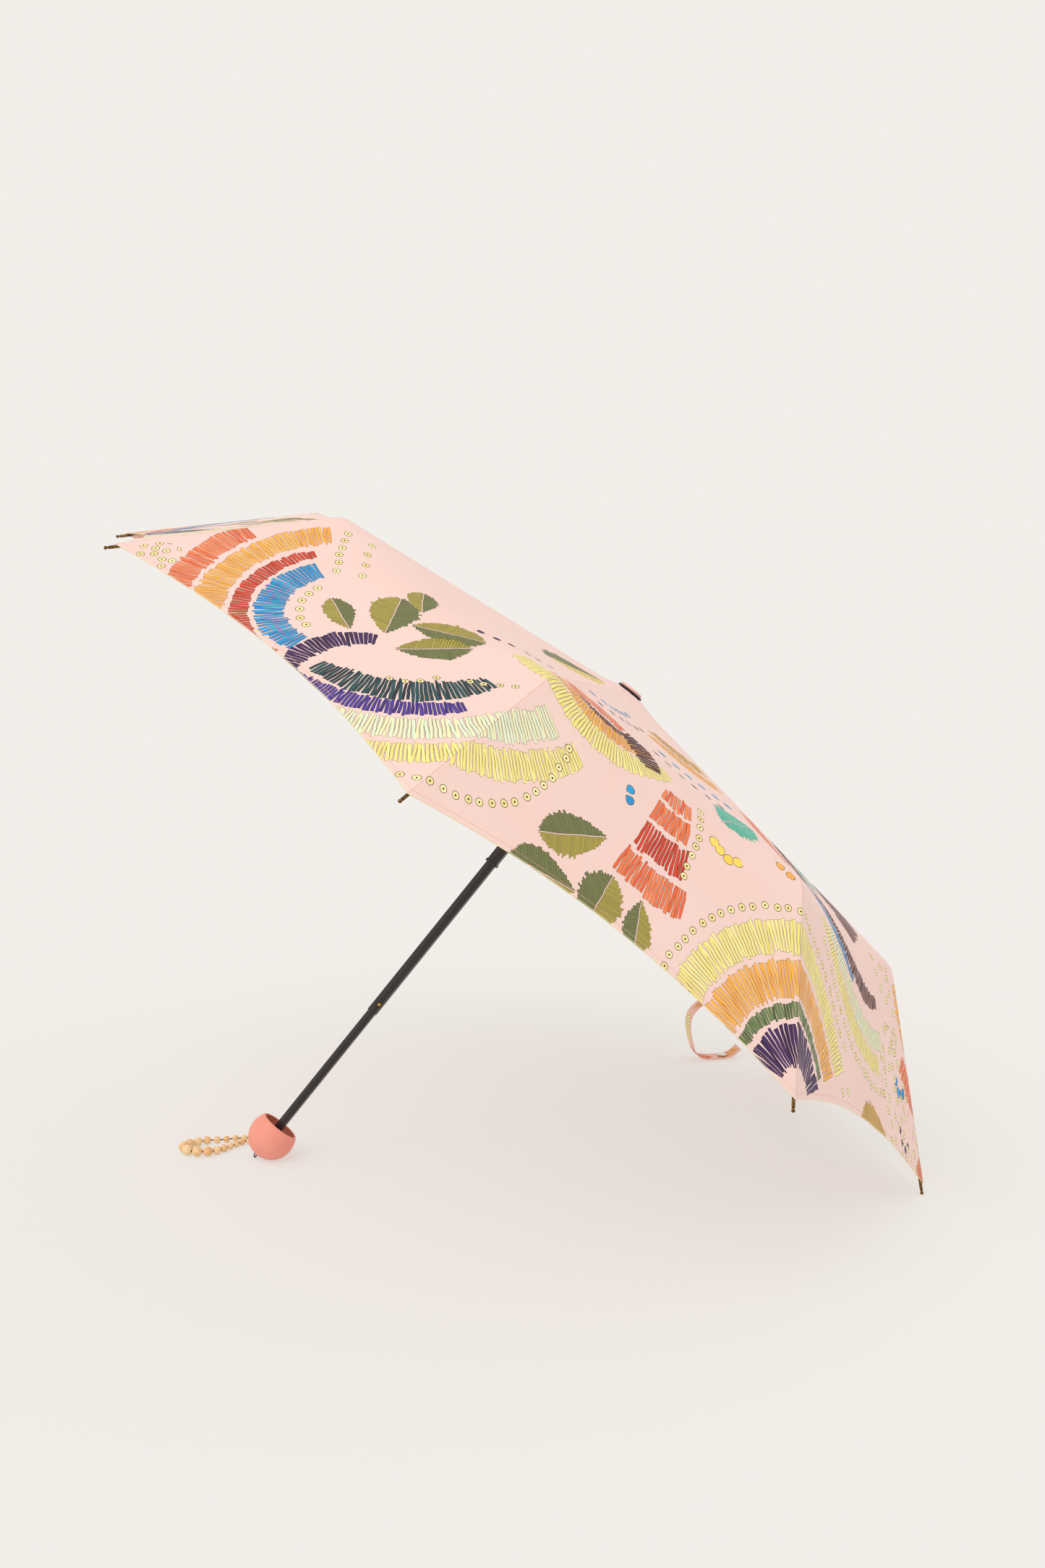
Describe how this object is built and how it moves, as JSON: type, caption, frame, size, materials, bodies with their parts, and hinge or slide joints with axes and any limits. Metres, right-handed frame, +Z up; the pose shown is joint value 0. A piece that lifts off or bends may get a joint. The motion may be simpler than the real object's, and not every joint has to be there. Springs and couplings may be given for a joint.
{
  "type": "folding umbrella",
  "caption": "Open compact umbrella with hinged ribs, a telescoping shaft, a ball handle with a bead wrist loop, lying on the floor on its handle and rib tips.",
  "frame": {"origin": "on the floor, straight below the centre of the handle ball", "axes": "+Z up from the floor, +X from the handle towards the crown, +Y across the canopy"},
  "size_m": [0.6902, 0.89, 0.586],
  "materials": {
    "shaft_enamel": "satin baked enamel",
    "black_plastic": "moulded satin",
    "steel": "plated",
    "brass": "polished",
    "pink_plastic": "matte",
    "coral_plastic": "matte, soft touch",
    "canopy_cloth": "printed woven polyester",
    "strap_cloth": "printed woven polyester",
    "cord": "waxed cotton cord",
    "bead_wood": "bare pale wood",
    "rib_steel": "black enamel",
    "tip_brass": "antique"
  },
  "bodies": {
    "shaft_top": {"upper_tube": "shaft_enamel", "crown": "black_plastic", "crown_wire": "steel", "cap_washer": "black_plastic", "top_cap": "pink_plastic", "canopy": "canopy_cloth", "closure_strap": "strap_cloth", "strap_snap": "steel"},
    "runner": {"runner": "black_plastic", "runner_wire": "steel"},
    "runner_button": {"runner_button": "black_plastic"},
    "middle_tube": {"middle_tube": "shaft_enamel"},
    "middle_detent": {"middle_detent": "brass"},
    "lower_tube": {"lower_tube": "shaft_enamel", "handle_plug": "black_plastic", "handle_pin": "steel", "handle_shell": "coral_plastic", "bead_cord": "cord", "beads": "bead_wood"},
    "lower_detent": {"lower_detent": "brass"},
    "inner_rib_1": {"inner_rib_1": "rib_steel"},
    "stretcher_1": {"stretcher_1": "rib_steel"},
    "middle_rib_1": {"middle_rib_1": "rib_steel"},
    "outer_rib_1": {"outer_rib_1": "rib_steel", "rib_tip_1": "tip_brass"},
    "inner_rib_2": {"inner_rib_2": "rib_steel"},
    "stretcher_2": {"stretcher_2": "rib_steel"},
    "middle_rib_2": {"middle_rib_2": "rib_steel"},
    "outer_rib_2": {"outer_rib_2": "rib_steel", "rib_tip_2": "tip_brass"},
    "inner_rib_3": {"inner_rib_3": "rib_steel"},
    "stretcher_3": {"stretcher_3": "rib_steel"},
    "middle_rib_3": {"middle_rib_3": "rib_steel"},
    "outer_rib_3": {"outer_rib_3": "rib_steel", "rib_tip_3": "tip_brass"},
    "inner_rib_4": {"inner_rib_4": "rib_steel"},
    "stretcher_4": {"stretcher_4": "rib_steel"},
    "middle_rib_4": {"middle_rib_4": "rib_steel"},
    "outer_rib_4": {"outer_rib_4": "rib_steel", "rib_tip_4": "tip_brass"},
    "inner_rib_5": {"inner_rib_5": "rib_steel"},
    "stretcher_5": {"stretcher_5": "rib_steel"},
    "middle_rib_5": {"middle_rib_5": "rib_steel"},
    "outer_rib_5": {"outer_rib_5": "rib_steel", "rib_tip_5": "tip_brass"},
    "inner_rib_6": {"inner_rib_6": "rib_steel"},
    "stretcher_6": {"stretcher_6": "rib_steel"},
    "middle_rib_6": {"middle_rib_6": "rib_steel"},
    "outer_rib_6": {"outer_rib_6": "rib_steel", "rib_tip_6": "tip_brass"},
    "inner_rib_7": {"inner_rib_7": "rib_steel"},
    "stretcher_7": {"stretcher_7": "rib_steel"},
    "middle_rib_7": {"middle_rib_7": "rib_steel"},
    "outer_rib_7": {"outer_rib_7": "rib_steel", "rib_tip_7": "tip_brass"},
    "inner_rib_8": {"inner_rib_8": "rib_steel"},
    "stretcher_8": {"stretcher_8": "rib_steel"},
    "middle_rib_8": {"middle_rib_8": "rib_steel"},
    "outer_rib_8": {"outer_rib_8": "rib_steel", "rib_tip_8": "tip_brass"}
  },
  "joints": [
    {"name": "fold_inner_rib_1", "type": "hinge", "parent": "shaft_top", "child": "inner_rib_1", "pos_m": [0.33293, -0.00352, 0.41602], "axis": [0.2964, 0.9239, -0.242], "range_deg": [0, 82.2], "deforming": ["canopy", "closure_strap"]},
    {"name": "fold_stretcher_1", "type": "hinge", "parent": "inner_rib_1", "child": "stretcher_1", "pos_m": [0.38777, -0.03689, 0.35583], "axis": [0.2964, 0.9239, -0.242], "range_deg": [-164.42, 0]},
    {"name": "fold_middle_rib_1", "type": "hinge", "parent": "inner_rib_1", "child": "middle_rib_1", "pos_m": [0.43669, -0.06615, 0.30405], "axis": [0.2964, 0.9239, -0.242], "range_deg": [-180.02, 0]},
    {"name": "fold_outer_rib_1", "type": "hinge", "parent": "middle_rib_1", "child": "outer_rib_1", "pos_m": [0.53778, -0.12858, 0.18953], "axis": [0.2964, 0.9239, -0.242], "range_deg": [0, 144.53]},
    {"name": "fold_inner_rib_2", "type": "hinge", "parent": "shaft_top", "child": "inner_rib_2", "pos_m": [0.33293, 0.00352, 0.41602], "axis": [-0.2964, 0.9239, 0.242], "range_deg": [0, 82.21]},
    {"name": "fold_stretcher_2", "type": "hinge", "parent": "inner_rib_2", "child": "stretcher_2", "pos_m": [0.38777, 0.03689, 0.35583], "axis": [-0.2964, 0.9239, 0.242], "range_deg": [-164.42, 0]},
    {"name": "fold_middle_rib_2", "type": "hinge", "parent": "inner_rib_2", "child": "middle_rib_2", "pos_m": [0.43669, 0.06615, 0.30405], "axis": [-0.2964, 0.9239, 0.242], "range_deg": [-180.02, 0]},
    {"name": "fold_outer_rib_2", "type": "hinge", "parent": "middle_rib_2", "child": "outer_rib_2", "pos_m": [0.53778, 0.12858, 0.18953], "axis": [-0.2964, 0.9239, 0.242], "range_deg": [0, 144.53]},
    {"name": "fold_inner_rib_3", "type": "hinge", "parent": "shaft_top", "child": "inner_rib_3", "pos_m": [0.32907, 0.0085, 0.41917], "axis": [-0.7156, 0.3827, 0.5843], "range_deg": [0, 82.21]},
    {"name": "fold_stretcher_3", "type": "hinge", "parent": "inner_rib_3", "child": "stretcher_3", "pos_m": [0.34736, 0.08905, 0.38882], "axis": [-0.7156, 0.3827, 0.5843], "range_deg": [-164.42, 0]},
    {"name": "fold_middle_rib_3", "type": "hinge", "parent": "inner_rib_3", "child": "middle_rib_3", "pos_m": [0.36423, 0.15969, 0.36321], "axis": [-0.7156, 0.3827, 0.5843], "range_deg": [-180.02, 0]},
    {"name": "fold_outer_rib_3", "type": "hinge", "parent": "middle_rib_3", "child": "outer_rib_3", "pos_m": [0.39693, 0.31042, 0.30454], "axis": [-0.7156, 0.3827, 0.5843], "range_deg": [0, 144.53]},
    {"name": "fold_inner_rib_4", "type": "hinge", "parent": "shaft_top", "child": "inner_rib_4", "pos_m": [0.32362, 0.0085, 0.42362], "axis": [-0.7156, -0.3827, 0.5843], "range_deg": [0, 82.21]},
    {"name": "fold_stretcher_4", "type": "hinge", "parent": "inner_rib_4", "child": "stretcher_4", "pos_m": [0.29022, 0.08905, 0.43547], "axis": [-0.7156, -0.3827, 0.5843], "range_deg": [-164.42, 0]},
    {"name": "fold_middle_rib_4", "type": "hinge", "parent": "inner_rib_4", "child": "middle_rib_4", "pos_m": [0.26176, 0.15969, 0.44688], "axis": [-0.7156, -0.3827, 0.5843], "range_deg": [-180.02, 0]},
    {"name": "fold_outer_rib_4", "type": "hinge", "parent": "middle_rib_4", "child": "outer_rib_4", "pos_m": [0.19773, 0.31042, 0.46718], "axis": [-0.7156, -0.3827, 0.5843], "range_deg": [0, 144.53]},
    {"name": "fold_inner_rib_5", "type": "hinge", "parent": "shaft_top", "child": "inner_rib_5", "pos_m": [0.31976, 0.00352, 0.42677], "axis": [-0.2964, -0.9239, 0.242], "range_deg": [0, 82.21]},
    {"name": "fold_stretcher_5", "type": "hinge", "parent": "inner_rib_5", "child": "stretcher_5", "pos_m": [0.24981, 0.03689, 0.46846], "axis": [-0.2964, -0.9239, 0.242], "range_deg": [-164.42, 0]},
    {"name": "fold_middle_rib_5", "type": "hinge", "parent": "inner_rib_5", "child": "middle_rib_5", "pos_m": [0.1893, 0.06615, 0.50604], "axis": [-0.2964, -0.9239, 0.242], "range_deg": [-180.02, 0]},
    {"name": "fold_outer_rib_5", "type": "hinge", "parent": "middle_rib_5", "child": "outer_rib_5", "pos_m": [0.05688, 0.12858, 0.58218], "axis": [-0.2964, -0.9239, 0.242], "range_deg": [0, 144.53]},
    {"name": "fold_inner_rib_6", "type": "hinge", "parent": "shaft_top", "child": "inner_rib_6", "pos_m": [0.31976, -0.00352, 0.42677], "axis": [0.2964, -0.9239, -0.242], "range_deg": [0, 82.21]},
    {"name": "fold_stretcher_6", "type": "hinge", "parent": "inner_rib_6", "child": "stretcher_6", "pos_m": [0.24981, -0.03689, 0.46846], "axis": [0.2964, -0.9239, -0.242], "range_deg": [-164.42, 0]},
    {"name": "fold_middle_rib_6", "type": "hinge", "parent": "inner_rib_6", "child": "middle_rib_6", "pos_m": [0.1893, -0.06615, 0.50604], "axis": [0.2964, -0.9239, -0.242], "range_deg": [-180.02, 0]},
    {"name": "fold_outer_rib_6", "type": "hinge", "parent": "middle_rib_6", "child": "outer_rib_6", "pos_m": [0.05688, -0.12858, 0.58218], "axis": [0.2964, -0.9239, -0.242], "range_deg": [0, 144.53]},
    {"name": "fold_inner_rib_7", "type": "hinge", "parent": "shaft_top", "child": "inner_rib_7", "pos_m": [0.32362, -0.0085, 0.42362], "axis": [0.7156, -0.3827, -0.5843], "range_deg": [0, 82.21]},
    {"name": "fold_stretcher_7", "type": "hinge", "parent": "inner_rib_7", "child": "stretcher_7", "pos_m": [0.29022, -0.08905, 0.43547], "axis": [0.7156, -0.3827, -0.5843], "range_deg": [-164.42, 0]},
    {"name": "fold_middle_rib_7", "type": "hinge", "parent": "inner_rib_7", "child": "middle_rib_7", "pos_m": [0.26176, -0.15969, 0.44688], "axis": [0.7156, -0.3827, -0.5843], "range_deg": [-180.02, 0]},
    {"name": "fold_outer_rib_7", "type": "hinge", "parent": "middle_rib_7", "child": "outer_rib_7", "pos_m": [0.19773, -0.31042, 0.46718], "axis": [0.7156, -0.3827, -0.5843], "range_deg": [0, 144.53]},
    {"name": "fold_inner_rib_8", "type": "hinge", "parent": "shaft_top", "child": "inner_rib_8", "pos_m": [0.32907, -0.0085, 0.41917], "axis": [0.7156, 0.3827, -0.5843], "range_deg": [0, 82.21]},
    {"name": "fold_stretcher_8", "type": "hinge", "parent": "inner_rib_8", "child": "stretcher_8", "pos_m": [0.34736, -0.08905, 0.38882], "axis": [0.7156, 0.3827, -0.5843], "range_deg": [-164.42, 0]},
    {"name": "fold_middle_rib_8", "type": "hinge", "parent": "inner_rib_8", "child": "middle_rib_8", "pos_m": [0.36423, -0.15969, 0.36321], "axis": [0.7156, 0.3827, -0.5843], "range_deg": [-180.02, 0]},
    {"name": "fold_outer_rib_8", "type": "hinge", "parent": "middle_rib_8", "child": "outer_rib_8", "pos_m": [0.39693, -0.31042, 0.30454], "axis": [0.7156, 0.3827, -0.5843], "range_deg": [0, 144.53]},
    {"name": "runner_slide", "type": "slide", "parent": "shaft_top", "child": "runner", "axis": [-0.6324, 0, -0.7746], "range_m": [0, 0.15213]},
    {"name": "runner_button_press", "type": "slide", "parent": "runner", "child": "runner_button", "axis": [-0.7746, 0, 0.6324], "range_m": [0, 0.001], "stiffness_N_per_m": 600, "springref_m": -0.001},
    {"name": "middle_tube_slide", "type": "slide", "parent": "shaft_top", "child": "middle_tube", "axis": [0.6324, 0, 0.7746], "range_m": [0, 0.165], "deforming": ["middle_detent"]},
    {"name": "middle_detent_press", "type": "slide", "parent": "middle_tube", "child": "middle_detent", "axis": [0, -1, 0], "range_m": [0, 0.00151]},
    {"name": "lower_tube_slide", "type": "slide", "parent": "middle_tube", "child": "lower_tube", "axis": [0.6324, 0, 0.7746], "range_m": [0, 0.1436], "deforming": ["lower_detent"]},
    {"name": "lower_detent_press", "type": "slide", "parent": "lower_tube", "child": "lower_detent", "axis": [0, 1, 0], "range_m": [0, 0.00151]}
  ],
  "couplings": [
    {"joint": "fold_stretcher_1", "follows": "fold_inner_rib_1", "ratio": -2},
    {"joint": "fold_middle_rib_1", "follows": "fold_inner_rib_1", "ratio": -2.1898},
    {"joint": "fold_outer_rib_1", "follows": "fold_inner_rib_1", "ratio": 1.7581},
    {"joint": "fold_inner_rib_2", "follows": "fold_inner_rib_1", "ratio": 1},
    {"joint": "fold_stretcher_2", "follows": "fold_inner_rib_1", "ratio": -2},
    {"joint": "fold_middle_rib_2", "follows": "fold_inner_rib_1", "ratio": -2.1898},
    {"joint": "fold_outer_rib_2", "follows": "fold_inner_rib_1", "ratio": 1.7581},
    {"joint": "fold_inner_rib_3", "follows": "fold_inner_rib_1", "ratio": 1},
    {"joint": "fold_stretcher_3", "follows": "fold_inner_rib_1", "ratio": -2},
    {"joint": "fold_middle_rib_3", "follows": "fold_inner_rib_1", "ratio": -2.1898},
    {"joint": "fold_outer_rib_3", "follows": "fold_inner_rib_1", "ratio": 1.7581},
    {"joint": "fold_inner_rib_4", "follows": "fold_inner_rib_1", "ratio": 1},
    {"joint": "fold_stretcher_4", "follows": "fold_inner_rib_1", "ratio": -2},
    {"joint": "fold_middle_rib_4", "follows": "fold_inner_rib_1", "ratio": -2.1898},
    {"joint": "fold_outer_rib_4", "follows": "fold_inner_rib_1", "ratio": 1.7581},
    {"joint": "fold_inner_rib_5", "follows": "fold_inner_rib_1", "ratio": 1},
    {"joint": "fold_stretcher_5", "follows": "fold_inner_rib_1", "ratio": -2},
    {"joint": "fold_middle_rib_5", "follows": "fold_inner_rib_1", "ratio": -2.1898},
    {"joint": "fold_outer_rib_5", "follows": "fold_inner_rib_1", "ratio": 1.7581},
    {"joint": "fold_inner_rib_6", "follows": "fold_inner_rib_1", "ratio": 1},
    {"joint": "fold_stretcher_6", "follows": "fold_inner_rib_1", "ratio": -2},
    {"joint": "fold_middle_rib_6", "follows": "fold_inner_rib_1", "ratio": -2.1898},
    {"joint": "fold_outer_rib_6", "follows": "fold_inner_rib_1", "ratio": 1.7581},
    {"joint": "fold_inner_rib_7", "follows": "fold_inner_rib_1", "ratio": 1},
    {"joint": "fold_stretcher_7", "follows": "fold_inner_rib_1", "ratio": -2},
    {"joint": "fold_middle_rib_7", "follows": "fold_inner_rib_1", "ratio": -2.1898},
    {"joint": "fold_outer_rib_7", "follows": "fold_inner_rib_1", "ratio": 1.7581},
    {"joint": "fold_inner_rib_8", "follows": "fold_inner_rib_1", "ratio": 1},
    {"joint": "fold_stretcher_8", "follows": "fold_inner_rib_1", "ratio": -2},
    {"joint": "fold_middle_rib_8", "follows": "fold_inner_rib_1", "ratio": -2.1898},
    {"joint": "fold_outer_rib_8", "follows": "fold_inner_rib_1", "ratio": 1.7581},
    {"joint": "runner_slide", "follows": "fold_inner_rib_1", "m_per_rad": 0.10603},
    {"joint": "middle_detent_press", "follows": "middle_tube_slide", "ratio": 0.0090909},
    {"joint": "lower_detent_press", "follows": "lower_tube_slide", "ratio": 0.010446}
  ]
}
